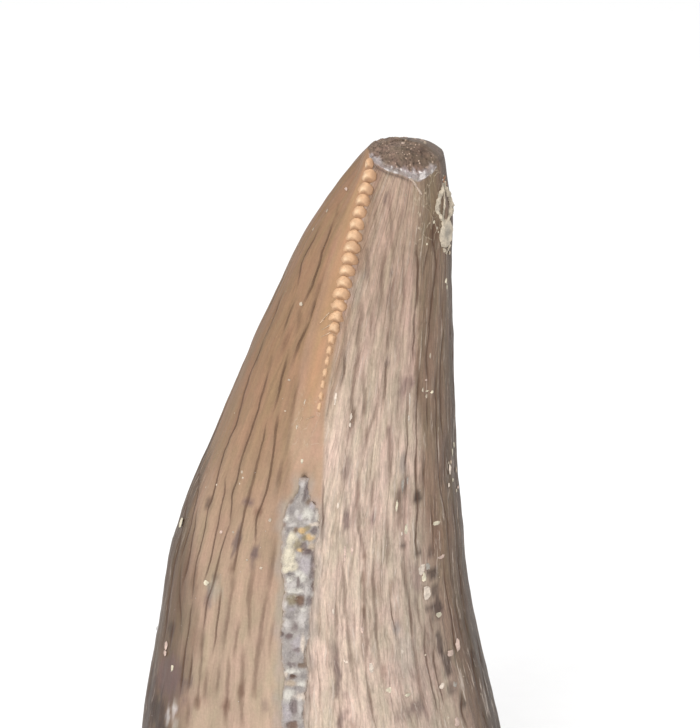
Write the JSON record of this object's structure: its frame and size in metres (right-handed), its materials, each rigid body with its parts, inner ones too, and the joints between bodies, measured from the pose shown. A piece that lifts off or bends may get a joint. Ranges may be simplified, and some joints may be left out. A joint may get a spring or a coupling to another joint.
{
  "type": "fossil archosaur tooth",
  "caption": "Curved, serrated fossil tooth crown with a worn tip, a sediment-filled furrow and a flat broken base that it stands on.",
  "frame": {"origin": "middle of the flat broken base, on the surface that the tooth stands on", "axes": "+Z from the base to the worn tip, -X the convex front edge of the bite, +X the hollow rear edge that the tip leans to, -Y the tongue side with the denticles of the front edge"},
  "size_m": [0.0184, 0.015, 0.036],
  "materials": {
    "tooth": "brown mineralised enamel and dentine, semi-gloss, finely cracked lengthwise",
    "sediment": "matt, lumpy, grey with cream and ochre grains",
    "crust": "matt cream mineral crust"
  },
  "bodies": {
    "root": {"tooth": "tooth", "sediment_strip": "sediment", "mineral_crust": "crust"}
  },
  "joints": []
}
